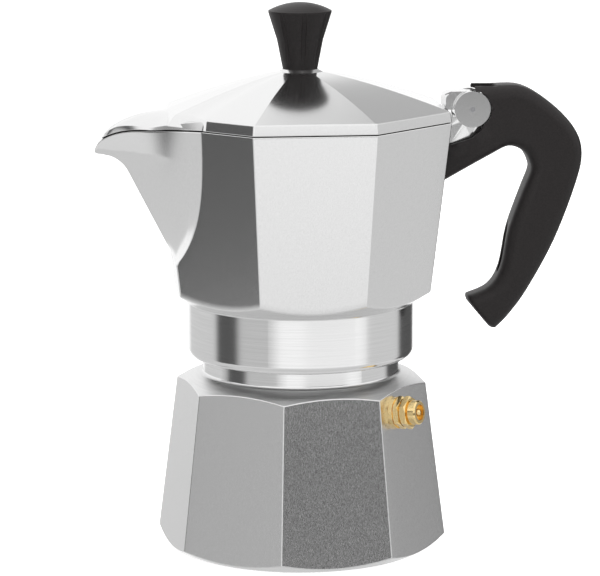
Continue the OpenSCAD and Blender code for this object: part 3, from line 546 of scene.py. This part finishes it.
def half_outline(z, wall):
    """The collector's outline on the near side, from the middle of the handle's face to the keel."""
    r = corner_r(z) - wall / math.cos(HALF_FACE)
    corners = [Vector((r * math.cos(a), r * math.sin(a))) for a in (-HALF_FACE - EIGHTH * k for k in range(3))]
    side = flank(z, wall)
    path = [Vector((flat(z) - wall, 0))]
    stops = [path[0]] + corners + [side[0]]
    arcs = [bend(stops[i - 1], stops[i], stops[i + 1], COLLECTOR_EDGE) for i in (1, 2, 3)]
    arcs.append(bend(corners[2], side[0], side[2], CREASE_EDGE))
    for arc in arcs:
        path += [path[-1].lerp(arc[0], s / FACE_STEPS) for s in range(1, FACE_STEPS)]
        path += arc
    return path + side[3:]


def whole(half):
    """A closed outline from its near half."""
    return half + [Vector((p.x, -p.y)) for p in reversed(half[1:-1])]


CREASE_X = flank(RIM_Z, 0)[0].x
KNEE_X = -(REACH - LIP_CURVE)
TIP_BLUNT = 0.985


def rim_height(x):
    """Height of the rim: level, then sloping, then curving down to the tip."""
    if x >= CREASE_X:
        return RIM_Z
    if x >= KNEE_X:
        return RIM_Z - RIM_DROP * (CREASE_X - x) / (CREASE_X - KNEE_X)
    low = TIP_Z + LIP_T
    q = (KNEE_X - x) / LIP_CURVE
    return low + (RIM_Z - RIM_DROP - low) * math.sqrt(max(0, 1 - q * q * TIP_BLUNT))


# ---------------------------------------------------------------- collector

WALL_RINGS = 48
INNER_RINGS = 30
OUTLINE_STEP = 0.2


def make_collector():
    bm = bmesh.new()
    cone = (COLLECTOR_LOW_Z - COLLAR_TOP_Z) / (COLLECTOR_LOW_R - COLLAR_R)
    cache = {}

    def outline(z, wall):
        key = (round(z, 4), wall)
        if key not in cache:
            cache[key] = whole(half_outline(z, wall))
        return cache[key]

    plan = outline(COLLECTOR_LOW_Z, 0)
    count = len(plan)
    low_z = COLLAR_TOP_Z + 1
    steps = 16
    span = 6.0
    lower = [outline(low_z + span * s / steps, 0) for s in range(steps + 1)]

    def along(i, z):
        t = (z - low_z) / span * steps
        k = max(0, min(int(t), steps - 1))
        return lower[k][i].lerp(lower[k + 1][i], t - k)

    def cone_z(r):
        return COLLAR_TOP_Z + (r - COLLAR_R) * cone

    meet = [solve(lambda z: z - cone_z(along(i, z).length), low_z, low_z + span) for i in range(count)]

    def column(i, z, wall):
        under = math.floor(z / OUTLINE_STEP) * OUTLINE_STEP
        p = outline(under, wall)[i].lerp(outline(under + OUTLINE_STEP, wall)[i], (z - under) / OUTLINE_STEP)
        return Vector((p.x, p.y, z))

    rim = [solve(lambda z: rim_height(column(i, z, 0).x) - z, TIP_Z, RIM_Z + 0.01) for i in range(count)]
    base = [Vector((p.x, p.y, 0)) for p in plan]
    polished, turned, rim_slot, raw = range(4)
    profile = [(COLLAR_R - COLLAR_ROUND * (1 - math.sin(a)), COLLAR_LOW_Z + COLLAR_ROUND * (1 - math.cos(a)))
               for a in (math.radians(d) for d in (0, 18, 36, 54, 72, 90))]
    profile += [(COLLAR_R, COLLAR_TOP_Z - 0.4), (COLLAR_R + 0.12, COLLAR_TOP_Z - 0.05),
                (COLLAR_R + 0.5, cone_z(COLLAR_R + 0.5))]
    ring = ring_of(bm, circle_like(base, *profile[0]))
    first = ring
    for r, z in profile[1:]:
        ring = pull(bm, ring, circle_like(base, r, z), turned)

    meets = [Vector((*along(i, meet[i]), meet[i])) for i in range(count)]
    near = [p.xy.length - 0.5 for p in meets]
    ring = pull(bm, ring, [outward(p) * r + Vector((0, 0, cone_z(r))) for p, r in zip(meets, near)], turned)
    ring = pull(bm, ring, [p - outward(p) * EDGE_CUT for p in meets], turned)
    foot_round = 0.4
    rim_round = 0.35
    for j in range(WALL_RINGS + 1):
        f = 1 - (1 - j / WALL_RINGS) ** CROWDING
        heights = [low + foot_round + (high - rim_round - low - foot_round) * f for low, high in zip(meet, rim)]
        ring = pull(bm, ring, [column(i, z, 0) for i, z in enumerate(heights)], polished)
    # The rim, rounded over, then the inner side down to the floor
    below = [column(i, rim[i] - rim_round, 0) for i in range(count)]
    for inward, drop in ((0.1, 0.1), (0.35, 0), (0.8, 0)):
        ring = pull(bm, ring, [p - outward(p) * inward + Vector((0, 0, rim_round - drop)) for p in below],
                    rim_slot)
    lip = [z - 0.1 for z in rim]
    for j in range(INNER_RINGS + 1):
        f = j / INNER_RINGS
        ring = pull(bm, ring, [column(i, lip[i] - (lip[i] - FLOOR_Z) * f, WALL) for i in range(count)], raw)
    # The brew column, closed at its head
    foot = COLUMN_R * 1.9
    head_z = FLOOR_Z + COLUMN_H
    stalk = [(foot + 6, FLOOR_Z), (foot, FLOOR_Z + 0.15), (COLUMN_R * 1.35, FLOOR_Z + 3.6),
             (COLUMN_R * 1.12, FLOOR_Z + 9), (COLUMN_R, head_z - 1), (COLUMN_R - 0.3, head_z - 0.3),
             (COLUMN_R - 1, head_z), (COLUMN_R - 2, head_z), (1, head_z - 0.1)]
    for r, z in stalk:
        ring = pull(bm, ring, circle_like(base, r, z), raw)
    cap(bm, ring, raw)
    # The underside: seats for the plate and the gasket, then the thread
    crest = NECK_R + RIDGE + THREAD_PLAY
    root = crest + RIDGE
    shelf = BOILER_RIM_Z + 0.6
    under = [(crest, COLLAR_LOW_Z)]
    thread_low = BOILER_RIM_Z - PITCH * (RIDGES + 0.6)
    under += [(crest, thread_low), (root, thread_low)]
    for i in reversed(range(RIDGES)):
        z = BOILER_RIM_Z - PITCH * (i + COLLAR_RIDGE)
        under += [(root, z - RIDGE_ROOT), (crest, z - RIDGE_CREST),
                  (crest, z + RIDGE_CREST), (root, z + RIDGE_ROOT)]
    under += [(root, shelf), (GASKET_R, shelf), (GASKET_R, GASKET_TOP_Z), (PLATE_R, GASKET_TOP_Z),
              (PLATE_R, PLATE_TOP_Z), (PLATE_R - 2.8, PLATE_TOP_Z), (COLUMN_BORE_R, FLOOR_Z - 2.2),
              (COLUMN_BORE_R, FLOOR_Z + COLUMN_BORE_H)]
    ring = first
    for r, z in under:
        ring = pull(bm, ring, circle_like(base, r, z), raw)
    cap(bm, ring, raw)
    piece("collector_casting", bm, "collector",
          [polished_aluminium, turned_aluminium, polished_aluminium, raw_aluminium], "collector", sharp=40)


def behind(node, x, slope):
    """What a CAD node has behind a plane that stands at x at the rim's height and leans in below it."""
    bm = copy_of(node)
    everything = bm.verts[:] + bm.edges[:] + bm.faces[:]
    bmesh.ops.bisect_plane(bm, geom=everything, dist=1e-7, plane_co=Vector((x, 0, RIM_Z)) * MM,
                           plane_no=(1, 0, -slope), clear_inner=True)
    bmesh.ops.holes_fill(bm, edges=[e for e in bm.edges if e.is_boundary], sides=0)
    return bm


def make_bracket():
    """The ears, web and tang that stand on the collector's rear face."""
    slope = (flat(RIM_Z) - flat(COLLECTOR_LOW_Z)) / COLLECTOR_H
    piece("hinge_bracket", behind("collector", flat(RIM_Z) + 0.02, slope), "collector",
          [polished_aluminium], in_mm=False, sharp=15)


# ---------------------------------------------------------------- lid

TAPER = 1 - SKIRT_TAPER / COLLECTOR_TOP_R
SHRINK = TAPER - SKIRT_BEVEL * 1.4 / COLLECTOR_TOP_R
LID_Z = RIM_Z + LID_GAP
SIDE_WALL = LID_WALL * 1.3
SEAT_T = 3.0
LID_EDGE = 0.5
SKIRT_FADE = 7
BROW_FADE = 8


def inset(points, step):
    return [p * (1 - step / p.length) for p in points]


def dome_half():
    """The dome's plan on the near side: an octagon with a faint ridge to the front."""
    corners = [Vector((math.cos(a), math.sin(a))) * COLLECTOR_TOP_R
               for a in (-HALF_FACE - EIGHTH * k for k in range(4))]
    stops = [Vector((flat(RIM_Z), 0))] + corners + [Vector((-NOSE_R, 0))]
    path = [stops[0]]
    for i in (1, 2, 3, 4):
        arc = bend(stops[i - 1], stops[i], stops[i + 1], LID_EDGE)
        path += [path[-1].lerp(arc[0], s / FACE_STEPS) for s in range(1, FACE_STEPS)]
        path += arc
    path += [path[-1].lerp(stops[5], s / FACE_STEPS) for s in range(1, FACE_STEPS + 1)]
    return path


def make_dome():
    bm = bmesh.new()
    plan = whole(dome_half())
    # The skirt is drawn in and leans back where the spout leaves the octagon
    beyond = [max(0, CREASE_X + 0.8 - p.x) for p in plan]
    foot = [p * (1 - SKIRT_IN * min(1, s / SKIRT_FADE) / COLLECTOR_TOP_R) for p, s in zip(plan, beyond)]
    brow = [p * (1 - BROW_IN * min(1, s / BROW_FADE) / COLLECTOR_TOP_R) for p, s in zip(plan, beyond)]

    def skirt(share, step=0, lift=0):
        made = []
        for low, p in zip(foot, brow):
            q = low.lerp(p * TAPER, share)
            made.append(Vector((*(q * (1 - step / q.length)), LID_Z + SKIRT_H * share + lift)))
        return made

    def crown(f, drop=0, wall=0):
        base = LID_Z + SKIRT_H + SKIRT_BEVEL
        z = base + (LID_TOP_Z - base) * (1 - f ** CROWN_POWER) - drop
        return [Vector((*(q * f * SHRINK), z)) for q in inset(brow, wall)]

    edge, top, raw = range(3)
    seat = [Vector((p.x, p.y, 0)) for p in plan]
    first = ring_of(bm, skirt(0, 0.3))
    ring = first
    for points in (skirt(0.02, 0.08), skirt(0.07), skirt(0.94), skirt(1, 0.06, 0.12), skirt(1, 0.3, 0.34)):
        ring = pull(bm, ring, points, edge)
    for f in (1, 0.98, 0.94, 0.9, 0.84, 0.78, 0.72, 0.65, 0.58, 0.51, 0.44, 0.37, 0.3, 0.24, 0.19, 0.155):
        ring = pull(bm, ring, crown(f), top)
    for r, z in ((SEAT_R - 0.3, -0.03), (SEAT_R - 0.5, 0), (1.5, 0)):
        ring = pull(bm, ring, circle_like(seat, r, LID_TOP_Z + z), top)
    cap(bm, ring, top)
    ring = pull(bm, first, skirt(0, SIDE_WALL), raw)
    for f in (1, 0.9, 0.78, 0.65, 0.51, 0.37, 0.24, 0.16):
        ring = pull(bm, ring, crown(f, LID_WALL, SIDE_WALL), raw)
    for r in (SEAT_R, 1.5):
        ring = pull(bm, ring, circle_like(seat, r, LID_TOP_Z - SEAT_T), raw)
    cap(bm, ring, raw)
    piece("lid_dome", bm, "lid",
          [polished_aluminium, polished_aluminium, raw_aluminium], "lid", sharp=14)


BEAK_TIP = -REACH + BEAK_BACK
BEAK_ROUND = 5.5
BEAK_RISE = 12
NOSE_START = 1.6
NOSE_SHARE = 0.45


def beak_half():
    """The beak's plan on the near side: the rim from its crease, cut short of the spout's tip."""
    rim = []
    for k in range(FLANK_STEPS + 1):
        z = solve(lambda h: rim_height(flank(h, 0)[k].x) - h, TIP_Z + LIP_RAMP, RIM_Z + 0.01)
        rim.append(flank(z, 0)[k])
    kept = [p for p in rim if p.x > BEAK_TIP + NOSE_START]
    last = kept[-1]
    corner = Vector((BEAK_TIP, last.y * NOSE_SHARE))
    nose = [last.lerp(corner, t).lerp(corner.lerp(Vector((BEAK_TIP, 0)), t), t) for t in (0.25, 0.5, 0.75, 1)]
    return [Vector((CREASE_X, 0)), kept[0] * 0.5 + Vector((CREASE_X, 0)) * 0.5] + kept + nose


def make_beak():
    bm = bmesh.new()
    plan = inset(whole(beak_half()), 0.15)
    hub = Vector((CREASE_X, 0))
    top = LID_Z + SKIRT_H - 0.1

    def edge_h(x):
        if x >= KNEE_X:
            return SKIRT_H + (KNEE_H - SKIRT_H) * max(0, CREASE_X - x) / (CREASE_X - KNEE_X)
        full = KNEE_H + (BEAK_H - KNEE_H) * min(1, (KNEE_X - x) / BEAK_RISE)
        q = min(1, max(0, BEAK_TIP + BEAK_ROUND - x) / BEAK_ROUND)
        return 0.3 + (full - 0.3) * math.sqrt(max(0, 1 - q * q))

    low = [rim_height(p.x) + LID_GAP + 0.1 for p in plan]
    high = [low[i] + edge_h(p.x) - 0.2 for i, p in enumerate(plan)]
    lean = [SKIRT_TAPER + 0.9 * max(0, 1 - (CREASE_X - p.x) / (CREASE_X - KNEE_X)) for p in plan]

    def side(share, step=0, lift=0):
        return [Vector((*(p * (1 - (step + lean[i] * share) / p.length)),
                        low[i] + (high[i] - low[i]) * share + lift)) for i, p in enumerate(plan)]

    def upper(f, drop=0, wall=0):
        made = []
        for i, p in enumerate(plan):
            q = hub + (p * (1 - (lean[i] + wall) / p.length) - hub) * f
            made.append(Vector((*q, high[i] + (top - high[i]) * (1 - f ** BEAK_POWER) - drop)))
        return made

    edge, upside, raw = range(3)
    first = ring_of(bm, side(0, 0.3))
    ring = first
    for points in (side(0.03, 0.08), side(0.1), side(0.9), side(1, 0.05, -0.02)):
        ring = pull(bm, ring, points, edge)
    for f in (0.985, 0.965, 0.94, 0.91, 0.87, 0.82, 0.76, 0.7, 0.62, 0.54, 0.45, 0.35, 0.24, 0.12):
        ring = pull(bm, ring, upper(f), upside)
    cap(bm, ring, upside)
    ring = pull(bm, first, side(0, SIDE_WALL), raw)
    for f in (1, 0.92, 0.82, 0.7, 0.55, 0.35, 0.12):
        ring = pull(bm, ring, upper(f, LID_WALL, SIDE_WALL), raw)
    cap(bm, ring, raw)
    piece("lid_beak", bm, "lid",
          [polished_aluminium, polished_aluminium, raw_aluminium], sharp=22)


def make_tongue():
    """The tongue that reaches from the lid's rear edge to the hinge pin."""
    piece("hinge_tongue", behind("lid", flat(RIM_Z) + 0.03, 0), "lid",
          [polished_aluminium], in_mm=False, sharp=15)


# ---------------------------------------------------------------- handle

def make_handle():
    piece("handle_grip", copy_of("handle"), "collector", [moulded_phenolic], "handle",
          in_mm=False, sharp=38)


make_boiler()
make_collector()
make_bracket()
make_dome()
make_beak()
make_tongue()
make_handle()

NODE_FINISH = {
    "valve_body": turned_brass, "valve_cap": turned_brass, "valve_piston": turned_brass,
    "valve_washer": turned_brass, "valve_spring": bright_steel, "hinge_pin": bright_steel,
    "handle_screw": bright_steel, "knob_screw": bright_steel, "knob_washer": bright_steel,
    "funnel_basket": sheet_aluminium, "funnel_stem": sheet_aluminium, "funnel_screen": sheet_aluminium,
    "filter_plate": sheet_aluminium, "gasket": seal_rubber, "knob": moulded_phenolic,
    "knob_insert": turned_brass, "boiler": ground_aluminium, "collector": polished_aluminium,
    "lid": polished_aluminium, "handle": moulded_phenolic,
}
for node, finish in NODE_FINISH.items():
    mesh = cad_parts[node].data
    mesh.materials.clear()
    mesh.materials.append(finish)

# ---------------------------------------------------------------- studio

scene = bpy.context.scene
scene.view_settings.view_transform = "Standard"


FLOOR_HALF = 6
FLOOR_GLOW = 0.6


def make_floor():
    """White paper that glows a little to the camera, and that mirrors see through."""
    bm = bmesh.new()
    bmesh.ops.create_grid(bm, x_segments=1, y_segments=1, size=FLOOR_HALF)
    mesh = bpy.data.meshes.new("studio_floor")
    bm.to_mesh(mesh)
    bm.free()
    floor = bpy.data.objects.new("studio_floor", mesh)
    scene.collection.objects.link(floor)
    material, tree, shader = new_material("white_paper_floor",
                                          {"Base Color": linear("#f4f4f4"), "Roughness": 0.9})
    path = add(tree, "ShaderNodeLightPath")
    glow = add(tree, "ShaderNodeEmission", None, {"Color": (1, 1, 1, 1), "Strength": FLOOR_GLOW})
    both = add(tree, "ShaderNodeAddShader", None, {0: shader.outputs["BSDF"], 1: glow.outputs["Emission"]})
    clear = add(tree, "ShaderNodeBsdfTransparent")
    seen = add(tree, "ShaderNodeMixShader", None,
               {"Fac": path.outputs["Is Camera Ray"], 1: shader.outputs["BSDF"], 2: both.outputs["Shader"]})
    kept = add(tree, "ShaderNodeMixShader", None,
               {"Fac": path.outputs["Is Glossy Ray"], 1: seen.outputs["Shader"], 2: clear.outputs["BSDF"]})
    tree.links.new(kept.outputs["Shader"], tree.nodes["Material Output"].inputs["Surface"])
    mesh.materials.append(material)


# What bare metal mirrors: one level below FLOOR_END degrees, another over STUDIO_START, and plain panels
FLOOR_LEVEL = 0.7
FLOOR_END = -35
STUDIO_LEVEL = 1.1
STUDIO_START = -15
# The soft light that falls on everything, and the white behind
SOFT_LEVEL = 0.62
BACKDROP_LEVEL = 1.0
# Each panel: degrees anticlockwise from the handle's side, half its width, degrees over the horizon,
# half its height, and its level
PANELS = {
    "spout_side_wall": (145, 30, -28, 20, 0.7),
    "left_wall": (-148, 22, -8, 13, 0.6),
    "right_wall": (5, 25, -8, 15, 0.7),
    "front_flag": (-66, 20, -1, 6, 0.1),
    "rear_flag": (45, 16, -4, 20, 0.1),
    "upper_rear_flag": (58, 18, 38, 14, 0.5),
    "left_flag": (-177, 9, -5, 16, 0.1),
    "spout_front_flag": (-158, 10, 13, 3, 0.05),
    "spout_side_flag": (163, 6, 22, 6, 0.3),
}
PANEL_SOFT = 10
PANEL_SOFT_UP = 3


def make_world():
    """A white studio with a few grey walls and black flags, which only mirrors show."""
    world = bpy.data.worlds.new("white_studio")
    scene.world = world
    world.use_nodes = True
    tree = world.node_tree
    background = tree.nodes["Background"]
    place = add(tree, "ShaderNodeTexCoord")
    xyz = add(tree, "ShaderNodeSeparateXYZ", None, {"Vector": place.outputs["Generated"]})
    bearing = add(tree, "ShaderNodeMath", {"operation": "ARCTAN2"}, {0: xyz.outputs["Y"], 1: xyz.outputs["X"]})
    rise = add(tree, "ShaderNodeMath", {"operation": "ARCSINE"}, {0: xyz.outputs["Z"]})

    def within(angle, middle, half, soft):
        """1 inside a span of angles, falling smoothly to 0 past its ends, in degrees."""
        off = add(tree, "ShaderNodeMath", {"operation": "SUBTRACT"}, {0: angle, 1: math.radians(middle)})
        turned = add(tree, "ShaderNodeMath", {"operation": "WRAP"},
                     {0: off.outputs[0], 1: math.pi, 2: -math.pi})
        size = add(tree, "ShaderNodeMath", {"operation": "ABSOLUTE"}, {0: turned.outputs[0]})
        return add(tree, "ShaderNodeMapRange", {"interpolation_type": "SMOOTHSTEP"},
                   {"Value": size.outputs[0], "To Min": 1.0, "To Max": 0.0,
                    "From Min": math.radians(half), "From Max": math.radians(half + soft)}).outputs["Result"]

    level = add(tree, "ShaderNodeMapRange", {"interpolation_type": "SMOOTHSTEP"},
                {"Value": rise.outputs[0], "To Min": FLOOR_LEVEL, "To Max": STUDIO_LEVEL,
                 "From Min": math.radians(FLOOR_END), "From Max": math.radians(STUDIO_START)}).outputs["Result"]
    for middle, half, height, half_height, grey_level in PANELS.values():
        share = add(tree, "ShaderNodeMath", {"operation": "MULTIPLY"},
                    {0: within(bearing.outputs[0], middle, half, PANEL_SOFT),
                     1: within(rise.outputs[0], height, half_height, PANEL_SOFT_UP)})
        level = add(tree, "ShaderNodeMix", {"data_type": "FLOAT"},
                    {0: share.outputs[0], 2: level, 3: grey_level}).outputs[0]
    path = add(tree, "ShaderNodeLightPath")
    mirrored = add(tree, "ShaderNodeMix", {"data_type": "FLOAT"},
                   {0: path.outputs["Is Glossy Ray"], 2: SOFT_LEVEL, 3: level})
    seen = add(tree, "ShaderNodeMix", {"data_type": "FLOAT"},
               {0: path.outputs["Is Camera Ray"], 2: mirrored.outputs[0], 3: BACKDROP_LEVEL})
    tree.links.new(seen.outputs[0], background.inputs["Color"])


# Soft boxes, which mirrors don't show: place and side in metres, and watts
LAMPS = {
    "key_softbox": ((-0.9, -1.1, 1.3), 0.9, 16),
    "fill_softbox": ((1.2, -0.8, 0.8), 0.9, 8),
    "top_softbox": ((0.0, 0.3, 1.6), 1.0, 14),
}
LAMP_AIM = Vector((0, 0, 0.1))


def make_lamp(name, place, size, watts):
    light = bpy.data.lights.new(name, "AREA")
    light.shape = "SQUARE"
    light.size = size
    light.energy = watts
    lamp = bpy.data.objects.new(name, light)
    lamp.location = place
    lamp.rotation_euler = (LAMP_AIM - Vector(place)).to_track_quat("-Z", "Y").to_euler()
    lamp.visible_camera = False
    lamp.visible_glossy = False
    scene.collection.objects.link(lamp)


# A long lens from the front and a little above, in millimetres and degrees
CAMERA_AT = (-120.06, -1173.78, 317.82)
CAMERA_AIM = (-0.21, 0.02, 99.14)
CAMERA_ROLL = -0.12
CAMERA_LENS = 187.57


def make_camera():
    place = Vector(CAMERA_AT) * MM
    target = Vector(CAMERA_AIM) * MM
    camera = bpy.data.cameras.new("camera")
    camera.sensor_fit = "HORIZONTAL"
    camera.sensor_width = 36
    camera.lens = CAMERA_LENS
    camera.clip_start = 0.05
    camera.clip_end = 50
    made = bpy.data.objects.new("camera", camera)
    made.location = place
    turned = (target - place).to_track_quat("-Z", "Y").to_euler()
    turned.rotate_axis("Z", math.radians(CAMERA_ROLL))
    made.rotation_euler = turned
    scene.collection.objects.link(made)
    scene.camera = made


make_floor()
make_world()
for name, (place, size, watts) in LAMPS.items():
    make_lamp(name, place, size, watts)
make_camera()

bpy.context.view_layer.update()
